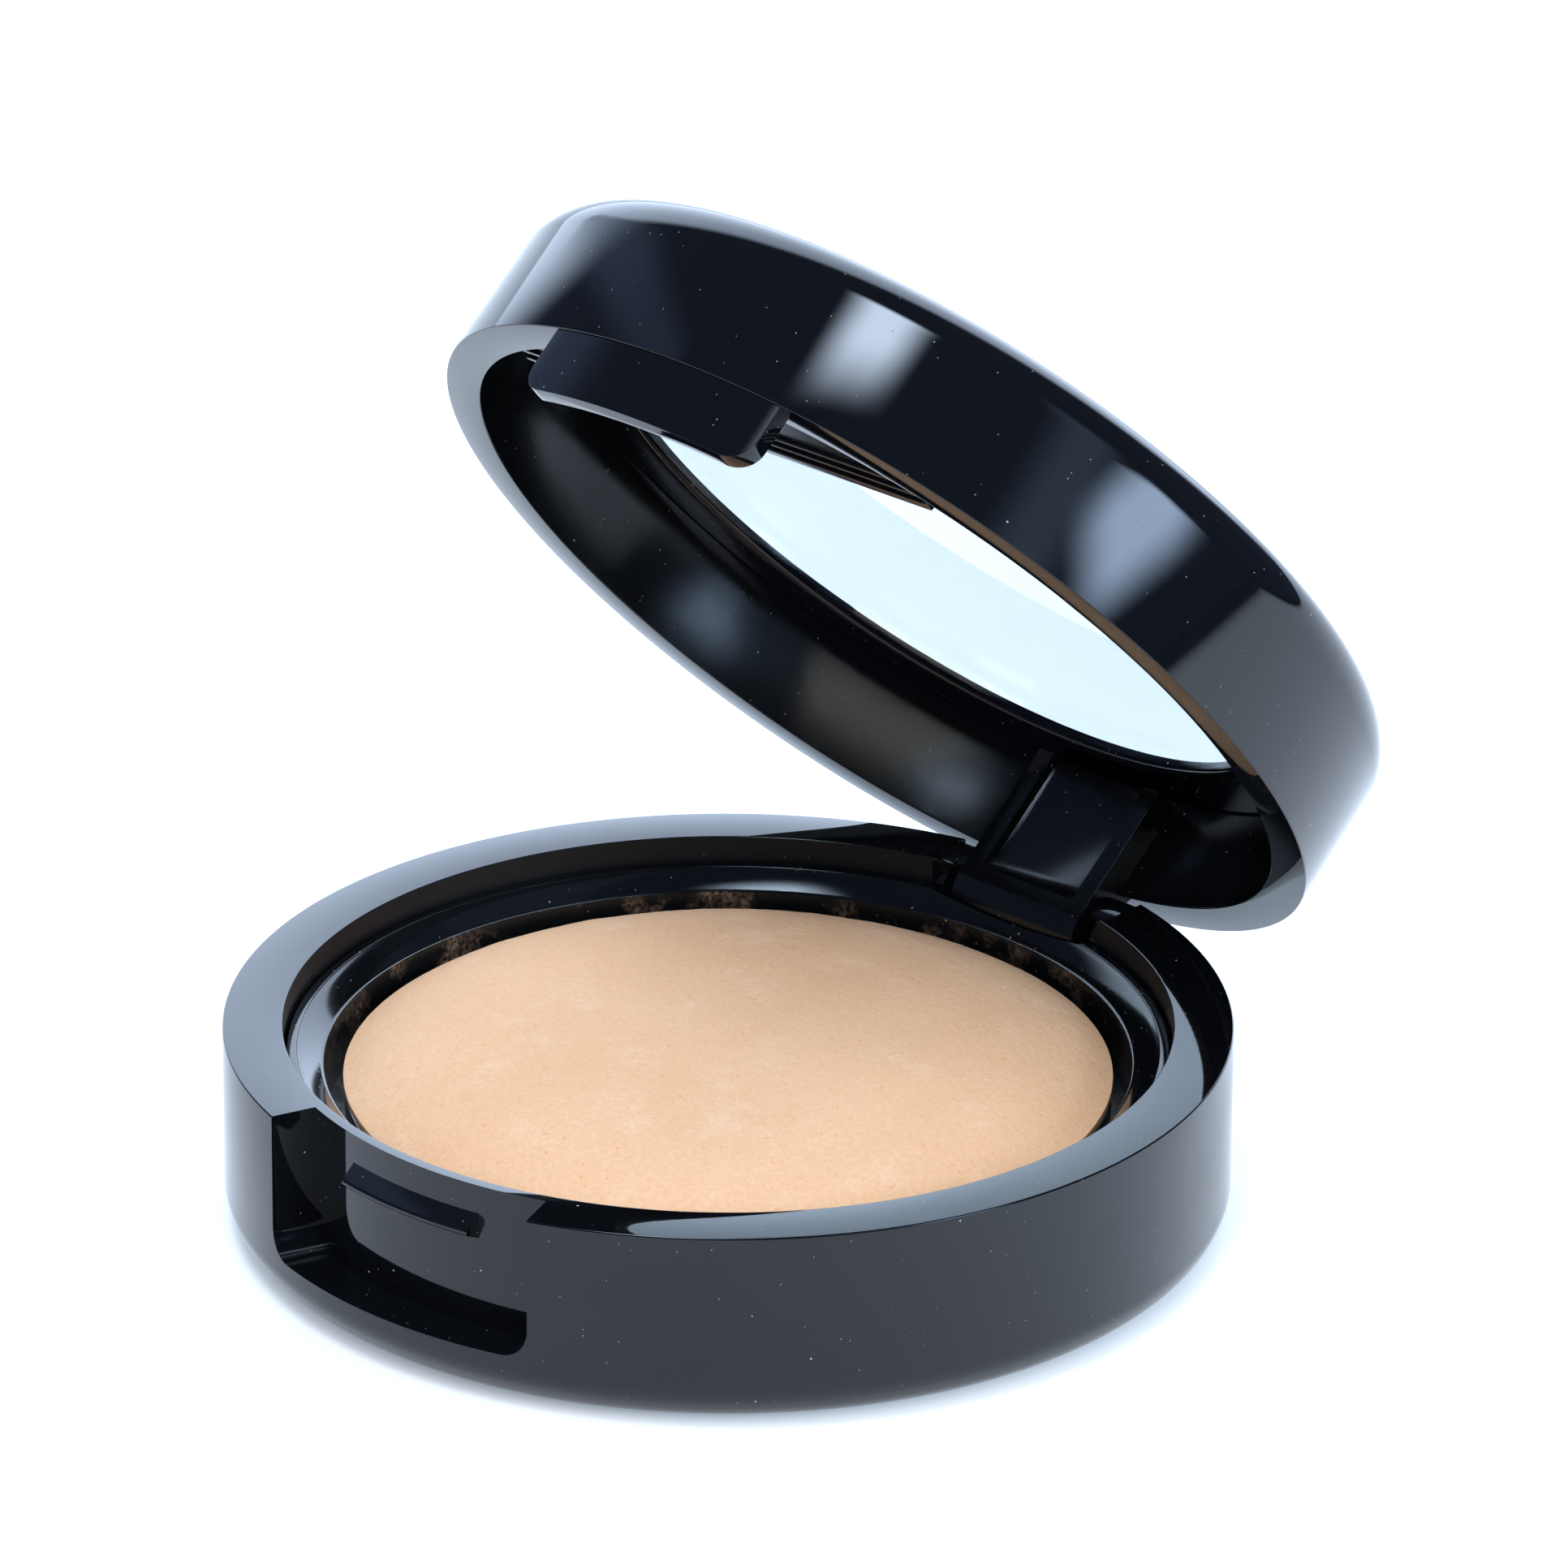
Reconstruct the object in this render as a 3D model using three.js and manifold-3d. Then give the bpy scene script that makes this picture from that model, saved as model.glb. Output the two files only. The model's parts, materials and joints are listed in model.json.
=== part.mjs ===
// Round pressed-powder compact, lid propped open on its rear hinge.
// Millimetres, +Z up. The origin is the centre of the flat underside of the base.
// The hinge is at +Y, the latch notch and tab are at -Y.
import * as THREE from 'three';
import { mergeVertices } from 'three/addons/utils/BufferGeometryUtils.js';
import Module from 'manifold-3d';

const wasm = await Module();
wasm.setup();

// ---- driving dimensions ----
const SEGMENTS = 64;
const GAP = 0.3; // clearance kept between neighbouring pieces

const OUTER_R = 37; // outside radius of base and lid
const BASE_H = 15.3; // underside to rim plane
const BASE_EDGE_R = 4.2; // bottom edge rounding, radial
const BASE_EDGE_H = 3.4; // bottom edge rounding, height
const RIM_IN_R = 32.6; // inside radius of the base rim
const BASE_FLOOR = 2;

const NOTCH_HALF_ANGLE = 20; // degrees, radial side walls
const NOTCH_BACK_R = 33.5;
const NOTCH_FLOOR = 4.3;
const NOTCH_CORNER = 2.2;
const RIDGE_TIP_R = 34.75; // catch ridge on the notch's back wall
const RIDGE_HALF_W = 6.2;
const RIDGE_TOP = 13.15;
const RIDGE_TIP_Z = 12;
const RIDGE_BOTTOM = 11;

const LEDGE_OUT_Z = 13.3; // tray ledge height at its outer edge
const LEDGE_IN_Z = 12.1; // and at the edge of the well
const WELL_R = 29.6;
const TRAY_WALL = 1.2;
const TRAY_FLOOR = 7.2; // pan seat
const TRAY_UNDER = 6; // underside of the seat, the skirt reaches down to the base floor

const PAN_R = 28.4;
const PAN_WALL = 0.6;
const PAN_BOTTOM = 8.1;
const PAN_TOP = 10.2;
const PAD_R = 24;
const PAD_BOTTOM = 7.5;
const PAD_TOP = 7.8;
const CAKE_R = 28.2;
const CAKE_EDGE_Z = 11.1; // where the dome starts
const CAKE_TOP_Z = 14.8; // crown of the dome
const CAKE_POWER = 5; // the dome is flat in the middle and steeper at its edge

const LID_H = 13.45; // rim plane to top of lid
const LID_EDGE_R = 3.8; // top edge rounding
const LID_IN_R = 34.06;
const LIP_R = 32.6; // window opening in the lid's top
const LIP_UNDER = 12; // underside of that lip, above the rim plane
const WINDOW_BOTTOM = 9.6;
const WINDOW_FLANGE_TOP = 11.7;
const WINDOW_CROWN = 0.5;
const BEZEL_IN_R = 28.3;
const BEZEL_TOP = 9.3;
const BEZEL_BEAD = 8.3;

const TAB_HALF_W = 10.8;
const TAB_OUT_R = 36.8;
const TAB_IN_R = 35.35;
const TAB_DROP = 5.1; // how far the tab hangs below the rim plane
const TAB_CORNER = 2;
const HOOK_R = 35.05; // inner tip of the hook bead on the tab
const SHELF_Y = 24.6; // straight edge of the web behind the tab
const SHELF_HALF_W = 19;

const HINGE_Y = 34.6;
const HINGE_DROP = 3.2; // hinge axis below the rim plane
const OPEN_ANGLE = 51.24; // degrees from closed, as displayed
const PIN_R = 0.8;
const PIN_HALF = 8.2;
const LUG_HALF_W = 6;
const PANEL_HALF_W = 4.5; // hollow in the front of the lug's column, between two ribs
const PANEL_DEPTH = 0.9;
const LUG_FRONT_R = 3.6; // lug surface in front of the pin
const LUG_REAR_R = 2.1; // lug surface behind the pin
const SLOT_HALF_W = 6.35;
const RECESS_HALF_W = 7.3;
const RELIEF_HALF_W = 8.8;
const RELIEF_R = 3.1; // rounded rear bridge, swept clear by the lid rim

const HINGE_Z = BASE_H - HINGE_DROP;
const TAU = Math.PI * 2;
const rad = (d) => d * Math.PI / 180;

// ---- solids ----
// Turns a closed three.js geometry into a solid whose faces point out.
function solid(geometry) {
  const g = geometry.clone();
  g.deleteAttribute('normal');
  g.deleteAttribute('uv');
  const merged = mergeVertices(g, 1e-5);
  const p = merged.attributes.position.array;
  const idx = merged.index.array;
  const tris = [];
  let volume = 0;
  for (let i = 0; i < idx.length; i += 3) {
    const [a, b, c] = [idx[i], idx[i + 1], idx[i + 2]];
    if (a === b || b === c || a === c) continue;
    tris.push(a, b, c);
    const A = new THREE.Vector3().fromArray(p, a * 3);
    const B = new THREE.Vector3().fromArray(p, b * 3);
    const C = new THREE.Vector3().fromArray(p, c * 3);
    volume += A.dot(B.cross(C));
  }
  if (volume < 0) {
    for (let i = 0; i < tris.length; i += 3) {
      [tris[i + 1], tris[i + 2]] = [tris[i + 2], tris[i + 1]];
    }
  }
  const mesh = new wasm.Mesh({
    numProp: 3,
    vertProperties: new Float32Array(p),
    triVerts: new Uint32Array(tris),
  });
  return new wasm.Manifold(mesh);
}

function geometryOf(manifold) {
  const m = manifold.getMesh();
  const g = new THREE.BufferGeometry();
  g.setAttribute('position', new THREE.BufferAttribute(new Float32Array(m.vertProperties), 3));
  g.setIndex(new THREE.BufferAttribute(new Uint32Array(m.triVerts), 1));
  g.computeVertexNormals();
  return g;
}

// Solid of revolution about Z from [radius, height] pairs.
function turned(points, segments = SEGMENTS) {
  const g = new THREE.LatheGeometry(points.map(([r, z]) => new THREE.Vector2(r, z)), segments);
  g.rotateX(Math.PI / 2);
  return solid(g);
}

// Ring of revolution: the profile closes on itself.
function ring(points, segments = SEGMENTS) {
  return turned([...points, points[0]], segments);
}

function block(x0, x1, y0, y1, z0, z1) {
  const g = new THREE.BoxGeometry(x1 - x0, y1 - y0, z1 - z0);
  g.translate((x0 + x1) / 2, (y0 + y1) / 2, (z0 + z1) / 2);
  return solid(g);
}

// Cylinder along X about the hinge axis.
function axle(radius, half, segments = 40) {
  const g = new THREE.CylinderGeometry(radius, radius, half * 2, segments);
  g.rotateZ(Math.PI / 2);
  g.translate(0, HINGE_Y, HINGE_Z);
  return solid(g);
}

// Prism along X from a shape drawn in (y, z).
function prismX(shape, half) {
  const g = new THREE.ExtrudeGeometry(shape, { depth: half * 2, bevelEnabled: false, curveSegments: 14 });
  g.translate(0, 0, -half);
  g.rotateY(Math.PI / 2);
  g.rotateX(Math.PI / 2);
  return solid(g);
}

// Prism from y0 to y1 from a shape drawn in (x, z).
function prismY(shape, y0, y1, taperAt = 0) {
  const g = new THREE.ExtrudeGeometry(shape, { depth: y1 - y0, bevelEnabled: false, curveSegments: 8 });
  g.rotateX(Math.PI / 2);
  g.translate(0, y1, 0);
  if (taperAt > 0) {
    const p = g.attributes.position;
    for (let i = 0; i < p.count; i++) p.setX(i, p.getX(i) * Math.abs(p.getY(i)) / taperAt);
  }
  return solid(g);
}

// Rectangle whose two lower corners are rounded.
function roundBottomRect(half, z0, z1, radius) {
  const s = new THREE.Shape();
  s.moveTo(-half, z1);
  s.lineTo(-half, z0 + radius);
  s.absarc(-half + radius, z0 + radius, radius, Math.PI, Math.PI * 1.5, false);
  s.lineTo(half - radius, z0);
  s.absarc(half - radius, z0 + radius, radius, Math.PI * 1.5, TAU, false);
  s.lineTo(half, z1);
  s.closePath();
  return s;
}

function arc(cr, cz, ar, az, from, to, steps) {
  const points = [];
  for (let i = 0; i <= steps; i++) {
    const t = rad(from + (to - from) * i / steps);
    points.push([cr + ar * Math.cos(t), cz + az * Math.sin(t)]);
  }
  return points;
}

// ---- space that the moving lug needs inside the base ----
function hingeSlot() {
  const well = axle(LUG_FRONT_R + GAP, SLOT_HALF_W);
  const above = block(-SLOT_HALF_W, SLOT_HALF_W, HINGE_Y - LUG_FRONT_R - GAP, HINGE_Y + 6,
    HINGE_Z, BASE_H + 3);
  const rear = block(-SLOT_HALF_W, SLOT_HALF_W, HINGE_Y, HINGE_Y + 6,
    HINGE_Z - LUG_REAR_R - GAP, HINGE_Z + 1);
  const front = block(-SLOT_HALF_W, SLOT_HALF_W, HINGE_Y - 6, HINGE_Y,
    HINGE_Z - 6, BASE_H + 3);
  return well.intersect(front).add(above).add(rear);
}

function lugRecess() {
  return block(-RECESS_HALF_W, RECESS_HALF_W, HINGE_Y - LUG_FRONT_R - GAP, HINGE_Y - 1.6,
    HINGE_Z - 0.4, BASE_H + 3);
}

function rearRelief() {
  const over = block(-RELIEF_HALF_W, RELIEF_HALF_W, HINGE_Y - 3.05, HINGE_Y + 6, HINGE_Z, BASE_H + 3);
  return over.subtract(axle(RELIEF_R, RELIEF_HALF_W + 1));
}

// ---- base ----
function baseShell() {
  const profile = [
    [0, 0],
    ...arc(OUTER_R - BASE_EDGE_R, BASE_EDGE_H, BASE_EDGE_R, BASE_EDGE_H, -90, 0, 6),
    [OUTER_R, BASE_H - 0.25],
    [OUTER_R - 0.25, BASE_H],
    [RIM_IN_R + 0.15, BASE_H],
    [RIM_IN_R, BASE_H - 0.15],
    [RIM_IN_R, BASE_FLOOR],
    [0, BASE_FLOOR],
  ];
  let body = turned(profile);
  const half = OUTER_R * Math.sin(rad(NOTCH_HALF_ANGLE));
  const mouth = roundBottomRect(half, NOTCH_FLOOR, BASE_H + 3, NOTCH_CORNER);
  const depth = OUTER_R * Math.cos(rad(NOTCH_HALF_ANGLE));
  const notch = prismY(mouth, -OUTER_R - 3, -NOTCH_BACK_R * 0.8, depth);
  const core = turned([[0, -1], [NOTCH_BACK_R, -1], [NOTCH_BACK_R, BASE_H + 4], [0, BASE_H + 4]]);
  body = body.subtract(notch.subtract(core));
  const ridge = ring([
    [NOTCH_BACK_R - 0.3, RIDGE_BOTTOM],
    [RIDGE_TIP_R, RIDGE_TIP_Z - 0.2],
    [RIDGE_TIP_R, RIDGE_TIP_Z],
    [NOTCH_BACK_R - 0.3, RIDGE_TOP + 0.25],
  ]);
  body = body.add(ridge.intersect(block(-RIDGE_HALF_W, RIDGE_HALF_W, -40, -30, 8, 15)));
  body = body.subtract(rearRelief()).subtract(lugRecess()).subtract(hingeSlot());
  return body.subtract(axle(PIN_R + GAP, PIN_HALF + GAP, 24));
}

function innerTray() {
  const outer = RIM_IN_R - GAP;
  const under = BASE_FLOOR + GAP;
  const profile = [
    [0, TRAY_UNDER],
    [WELL_R, TRAY_UNDER],
    [WELL_R, under],
    [WELL_R + TRAY_WALL, under],
    [WELL_R + TRAY_WALL, LEDGE_IN_Z - TRAY_WALL],
    [outer, LEDGE_OUT_Z - TRAY_WALL],
    [outer, LEDGE_OUT_Z],
    [outer - 0.75, LEDGE_OUT_Z],
    [outer - 0.9, LEDGE_OUT_Z - 0.12],
    [WELL_R + 0.15, LEDGE_IN_Z],
    [WELL_R, LEDGE_IN_Z - 0.15],
    [WELL_R, TRAY_FLOOR],
    [0, TRAY_FLOOR],
  ];
  return turned(profile).subtract(lugRecess()).subtract(hingeSlot());
}

function powderPan() {
  return turned([
    [0, PAN_BOTTOM],
    [PAN_R - 0.5, PAN_BOTTOM],
    [PAN_R, PAN_BOTTOM + 0.5],
    [PAN_R, PAN_TOP],
    [PAN_R - PAN_WALL, PAN_TOP],
    [PAN_R - PAN_WALL, PAN_BOTTOM + PAN_WALL],
    [0, PAN_BOTTOM + PAN_WALL],
  ]);
}

function powderCake() {
  const inPan = PAN_R - PAN_WALL - GAP;
  const points = [
    [0, PAN_BOTTOM + PAN_WALL + GAP],
    [inPan, PAN_BOTTOM + PAN_WALL + GAP],
    [inPan, PAN_TOP + GAP],
    [CAKE_R, PAN_TOP + GAP],
    [CAKE_R, CAKE_EDGE_Z - 0.4],
  ];
  const radii = [1, 0.985, 0.96, 0.92, 0.86, 0.78, 0.66, 0.5, 0.3];
  for (const k of radii) {
    points.push([CAKE_R * k, CAKE_TOP_Z - (CAKE_TOP_Z - CAKE_EDGE_Z) * k ** CAKE_POWER]);
  }
  points.push([0, CAKE_TOP_Z]);
  return turned(points);
}

// ---- lid, drawn in its closed position ----
const lidZ = (z) => BASE_H + z;
const lifted = (points) => points.map(([r, z]) => [r, lidZ(z)]);

function lugShape() {
  const s = new THREE.Shape();
  const at = (y, z) => [HINGE_Y + y, HINGE_Z + z];
  s.moveTo(...at(-LUG_FRONT_R, HINGE_DROP + BEZEL_BEAD - GAP));
  s.lineTo(...at(-LUG_FRONT_R, 0));
  s.absarc(HINGE_Y, HINGE_Z, LUG_FRONT_R, Math.PI, Math.PI * 1.38, false);
  s.absarc(HINGE_Y, HINGE_Z, LUG_REAR_R, -Math.PI * 0.55, Math.PI * 0.45, false);
  s.lineTo(...at(0.3, HINGE_DROP + 1.5));
  s.lineTo(...at(0.3, HINGE_DROP + BEZEL_BEAD - GAP));
  s.closePath();
  return s;
}

// Shallow panel sunk in the front of the column, its lower end sloped.
function lugPanel() {
  const s = new THREE.Shape();
  const face = HINGE_Y - LUG_FRONT_R + PANEL_DEPTH;
  s.moveTo(HINGE_Y - 6, lidZ(BEZEL_BEAD));
  s.lineTo(HINGE_Y - 6, HINGE_Z + 0.8);
  s.lineTo(HINGE_Y - LUG_FRONT_R, HINGE_Z + 0.8);
  s.lineTo(face, HINGE_Z + 1.9);
  s.lineTo(face, lidZ(BEZEL_BEAD));
  s.closePath();
  return s;
}

function lidShell() {
  const profile = lifted([
    [LID_IN_R + 0.15, GAP],
    [OUTER_R - 0.25, GAP],
    [OUTER_R, GAP + 0.25],
    ...arc(OUTER_R - LID_EDGE_R, LID_H - LID_EDGE_R, LID_EDGE_R, LID_EDGE_R, 0, 90, 7),
    [LIP_R + 0.3, LID_H],
    [LIP_R, LID_H - 0.3],
    [LIP_R, LIP_UNDER],
    [LID_IN_R, LIP_UNDER],
    [LID_IN_R, GAP + 0.15],
  ]);
  let body = ring(profile);
  const blade = prismY(roundBottomRect(TAB_HALF_W, lidZ(-TAB_DROP), lidZ(2), TAB_CORNER), -40, -30);
  const sleeve = ring(lifted([
    [TAB_IN_R, -8],
    [TAB_OUT_R, -8],
    [TAB_OUT_R, 3],
    [TAB_IN_R, 3],
  ]));
  body = body.add(blade.intersect(sleeve));
  const bead = ring(lifted([
    [TAB_IN_R + 0.3, -3.85],
    [HOOK_R, -4.3],
    [HOOK_R, -4.5],
    [TAB_IN_R + 0.3, -4.85],
  ]));
  body = body.add(bead.intersect(block(-7.5, 7.5, -40, -30, 0, 20)));
  body = body.add(latchWeb());
  const column = prismX(lugShape(), LUG_HALF_W);
  const inside = turned(lifted([[0, -12], [OUTER_R - 0.6, -12], [OUTER_R - 0.6, 12], [0, 12]]));
  body = body.add(column.intersect(inside));
  return body.subtract(prismX(lugPanel(), PANEL_HALF_W)).subtract(axle(PIN_R + GAP, LUG_HALF_W + 2, 24));
}

// Straight-edged stepped web that stiffens the rim behind the tab.
function latchWeb() {
  const disc = turned(lifted([[0, 0], [LID_IN_R + 0.6, 0], [LID_IN_R + 0.6, 4], [0, 4]]));
  let web = block(-SHELF_HALF_W, SHELF_HALF_W, -40, -SHELF_Y, lidZ(0.7), lidZ(1.9));
  const steps = [1.1, 3.4];
  for (const step of steps) {
    const y = -SHELF_Y - step;
    web = web.add(block(-SHELF_HALF_W, SHELF_HALF_W, y - 0.35, y, lidZ(0.45), lidZ(1)));
  }
  return web.intersect(disc);
}

function lidWindow() {
  const boss = LIP_R - GAP;
  const top = [];
  for (const k of [1, 0.8, 0.6, 0.4, 0.2, 0]) {
    top.push([boss * k, LID_H - 0.1 + WINDOW_CROWN * (1 - k * k)]);
  }
  return turned(lifted([
    [0, WINDOW_BOTTOM],
    [LID_IN_R - GAP, WINDOW_BOTTOM],
    [LID_IN_R - GAP, WINDOW_FLANGE_TOP],
    [boss, WINDOW_FLANGE_TOP],
    ...top,
  ]));
}

function windowBezel() {
  return ring(lifted([
    [BEZEL_IN_R, BEZEL_TOP],
    [BEZEL_IN_R, BEZEL_BEAD + 0.45],
    [BEZEL_IN_R + 0.3, BEZEL_BEAD + 0.1],
    [BEZEL_IN_R + 0.8, BEZEL_BEAD],
    [BEZEL_IN_R + 1.3, BEZEL_BEAD + 0.12],
    [BEZEL_IN_R + 1.6, BEZEL_BEAD + 0.4],
    [LID_IN_R - GAP, BEZEL_BEAD + 0.4],
    [LID_IN_R - GAP, BEZEL_TOP],
  ]));
}

function hingePin() {
  const g = new THREE.CylinderGeometry(PIN_R, PIN_R, PIN_HALF * 2, 20);
  g.rotateZ(Math.PI / 2);
  g.translate(0, HINGE_Y, HINGE_Z);
  return solid(g);
}

// ---- assembly ----
function piece(name, manifold, color, roughness, metalness) {
  const material = new THREE.MeshStandardMaterial({ color, roughness, metalness });
  const mesh = new THREE.Mesh(geometryOf(manifold), material);
  mesh.name = name;
  return mesh;
}

const compact = new THREE.Group();
compact.add(piece('base_shell', baseShell(), 0x0b0d10, 0.08, 0));
compact.add(piece('inner_tray', innerTray(), 0x0c0d10, 0.12, 0));
const pad = [[0, PAD_BOTTOM], [PAD_R, PAD_BOTTOM], [PAD_R, PAD_TOP], [0, PAD_TOP]];
compact.add(piece('pan_adhesive', turned(pad, 48), 0xe8e4da, 0.6, 0));
compact.add(piece('powder_pan', powderPan(), 0xb9bcc0, 0.35, 1));
compact.add(piece('powder_cake', powderCake(), 0xe3b98f, 0.9, 0));
compact.add(piece('hinge_pin', hingePin(), 0xb0b3b8, 0.3, 1));

const hinge = new THREE.Group();
hinge.position.set(0, HINGE_Y, HINGE_Z);
hinge.rotation.x = -rad(OPEN_ANGLE);
const lid = new THREE.Group();
lid.position.set(0, -HINGE_Y, -HINGE_Z);
lid.add(piece('lid_shell', lidShell(), 0x0b0d10, 0.08, 0));
lid.add(piece('lid_window', lidWindow(), 0xdcecf8, 0.04, 0));
lid.add(piece('window_bezel', windowBezel(), 0x0c0d10, 0.12, 0));
hinge.add(lid);
compact.add(hinge);

export default compact;
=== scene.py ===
# Round face powder compact, lid up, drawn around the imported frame.
# Lengths in the shape code are millimetres in the frame's axes; put() turns them into metres.
import json
import math

import bmesh
import bpy
import numpy as np
from mathutils import Matrix, Vector, noise


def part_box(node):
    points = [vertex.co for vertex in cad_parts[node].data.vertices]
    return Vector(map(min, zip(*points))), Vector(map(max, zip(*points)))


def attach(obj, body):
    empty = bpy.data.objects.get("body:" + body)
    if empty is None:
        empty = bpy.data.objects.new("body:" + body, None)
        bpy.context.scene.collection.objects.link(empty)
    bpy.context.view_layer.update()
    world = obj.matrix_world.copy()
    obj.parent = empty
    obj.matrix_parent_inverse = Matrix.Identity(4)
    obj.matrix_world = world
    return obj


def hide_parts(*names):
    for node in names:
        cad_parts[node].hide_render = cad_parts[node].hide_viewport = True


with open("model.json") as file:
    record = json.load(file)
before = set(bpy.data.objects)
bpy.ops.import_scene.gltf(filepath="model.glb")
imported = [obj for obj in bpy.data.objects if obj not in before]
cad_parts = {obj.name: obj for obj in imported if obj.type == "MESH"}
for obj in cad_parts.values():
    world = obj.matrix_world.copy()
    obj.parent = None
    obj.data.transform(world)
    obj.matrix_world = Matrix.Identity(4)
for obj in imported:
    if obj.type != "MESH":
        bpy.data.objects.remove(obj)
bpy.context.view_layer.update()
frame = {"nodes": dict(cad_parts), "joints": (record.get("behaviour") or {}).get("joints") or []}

MM = 0.001
SEGMENTS = 192
SMOOTH_ANGLE = 32  # degrees; sharper corners stay crisp
GAP = 0.3


def size_mm(node):
    low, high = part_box(node)
    return [(high[i] - low[i]) / MM for i in range(3)]


# ---- driving dimensions, as in the frame ----
OUTER_R = size_mm("base_shell")[0] / 2
BASE_H = size_mm("base_shell")[2]
BASE_EDGE_R = 4.2  # bottom edge rounding, radial
BASE_EDGE_H = 3.4  # and its height
BASE_FLOOR = 2
RIM_IN_R = 32.6

WELL_R = 29.6
TRAY_WALL = 1.2
TRAY_FLOOR = 7.2
TRAY_UNDER = 6
LEDGE_OUT_Z = 13.3
LEDGE_IN_Z = 12.1

CAKE_R = size_mm("powder_cake")[0] / 2
CAKE_TOP_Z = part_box("powder_cake")[1].z / MM
CAKE_EDGE_Z = 11.1
CAKE_POWER = 5
PAN_R = size_mm("powder_pan")[0] / 2
PAN_WALL = 0.6
PAN_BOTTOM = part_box("powder_pan")[0].z / MM
PAN_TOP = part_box("powder_pan")[1].z / MM

NOTCH_HALF_ANGLE = 20
NOTCH_BACK_R = 33.5
NOTCH_FLOOR = 4.3
NOTCH_CORNER = 2.2
RIDGE_TIP_R = 34.75
RIDGE_HALF_W = 6.2
RIDGE_BOTTOM = 11
RIDGE_TOP = 13.35

LID_H = 13.45
LID_FOOT = 0.08  # the real lid almost touches the rim when shut
LID_EDGE_R = 3.8
LID_IN_R = 34.06
LIP_R = 32.6
LIP_UNDER = 12
WINDOW_BOTTOM = 9.6
WINDOW_FLANGE_TOP = 11.7
WINDOW_CROWN = 0.5
BEZEL_IN_R = 28.3
BEZEL_TOP = 9.3
BEZEL_BEAD = 8.3
TAB_HALF_W = 10.8
TAB_OUT_R = 36.8
TAB_IN_R = 35.35
TAB_DROP = 5.1
TAB_CORNER = 2
HOOK_R = 35.05
SHELF_Y = 24.6
SHELF_HALF_W = 19
RIB_STEPS = (1.1, 2.25, 3.4)  # how far behind the web's edge each rib starts
RIB_W = 0.35

HINGE = frame["joints"][0]
HINGE_Y = HINGE["pos_m"][1] / MM
HINGE_Z = HINGE["pos_m"][2] / MM
HINGE_DROP = BASE_H - HINGE_Z
OPEN_ANGLE = -HINGE["range_deg"][0]
PIN_R = 0.8
PIN_HALF = 8.2
LUG_HALF_W = 6
PANEL_HALF_W = 4.5
PANEL_DEPTH = 0.9
LUG_FRONT_R = 3.6
LUG_REAR_R = 2.1
SLOT_HALF_W = 6.35
RECESS_HALF_W = 7.3
RELIEF_HALF_W = 8.8
RELIEF_R = 3.1


# ---- mesh building ----
def arc(cr, cz, radius_r, radius_z, start, end, steps):
    points = []
    for i in range(steps + 1):
        t = math.radians(start + (end - start) * i / steps)
        points.append((cr + radius_r * math.cos(t), cz + radius_z * math.sin(t)))
    return points


def to_object(name, bm):
    bmesh.ops.recalc_face_normals(bm, faces=bm.faces)
    mesh = bpy.data.meshes.new(name)
    bm.to_mesh(mesh)
    bm.free()
    obj = bpy.data.objects.new(name, mesh)
    bpy.context.scene.collection.objects.link(obj)
    return obj


def turned(name, points, closed=False, segments=SEGMENTS):
    """Solid of revolution about Z. closed joins the last point to the first."""
    bm = bmesh.new()
    rings = []
    for r, z in points:
        if r < 1e-6:
            rings.append([bm.verts.new((0, 0, z))])
            continue
        ring = []
        for i in range(segments):
            t = 2 * math.pi * i / segments
            ring.append(bm.verts.new((r * math.sin(t), -r * math.cos(t), z)))
        rings.append(ring)
    pairs = list(zip(rings, rings[1:]))
    if closed:
        pairs.append((rings[-1], rings[0]))
    for a, b in pairs:
        for i in range(segments):
            j = (i + 1) % segments
            if len(a) == 1 and len(b) == 1:
                continue
            if len(a) == 1:
                bm.faces.new((a[0], b[i], b[j]))
            elif len(b) == 1:
                bm.faces.new((a[i], b[0], a[j]))
            else:
                bm.faces.new((a[i], b[i], b[j], a[j]))
    return to_object(name, bm)


def prism(name, outline, start, end, place):
    """Straight solid between two copies of an outline; place(u, v, w) gives x, y, z."""
    bm = bmesh.new()
    low = [bm.verts.new(place(u, v, start)) for u, v in outline]
    high = [bm.verts.new(place(u, v, end)) for u, v in outline]
    bm.faces.new(low)
    bm.faces.new(list(reversed(high)))
    n = len(outline)
    for i in range(n):
        j = (i + 1) % n
        bm.faces.new((low[i], high[i], high[j], low[j]))
    return to_object(name, bm)


def block(x0, x1, y0, y1, z0, z1):
    outline = [(x0, z0), (x1, z0), (x1, z1), (x0, z1)]
    return prism("block", outline, y0, y1, lambda u, v, w: (u, w, v))


def axle(radius, half, segments=48):
    outline = arc(HINGE_Y, HINGE_Z, radius, radius, 0, 360 - 360 / segments, segments - 1)
    return prism("axle", outline, -half, half, lambda u, v, w: (w, u, v))


def baked(obj):
    """Applies the modifiers of obj."""
    graph = bpy.context.evaluated_depsgraph_get()
    mesh = bpy.data.meshes.new_from_object(obj.evaluated_get(graph))
    old = obj.data
    obj.modifiers.clear()
    obj.data = mesh
    bpy.data.meshes.remove(old)
    return obj


def combine(obj, operation, *tools):
    for tool in tools:
        mod = obj.modifiers.new("cut", "BOOLEAN")
        mod.operation = operation
        mod.solver = "EXACT"
        mod.object = tool
    baked(obj)
    for tool in tools:
        bpy.data.objects.remove(tool)
    return obj


def cut(obj, *tools):
    return combine(obj, "DIFFERENCE", *tools)


def join(obj, *tools):
    return combine(obj, "UNION", *tools)


def common(obj, tool):
    return combine(obj, "INTERSECT", tool)


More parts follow.
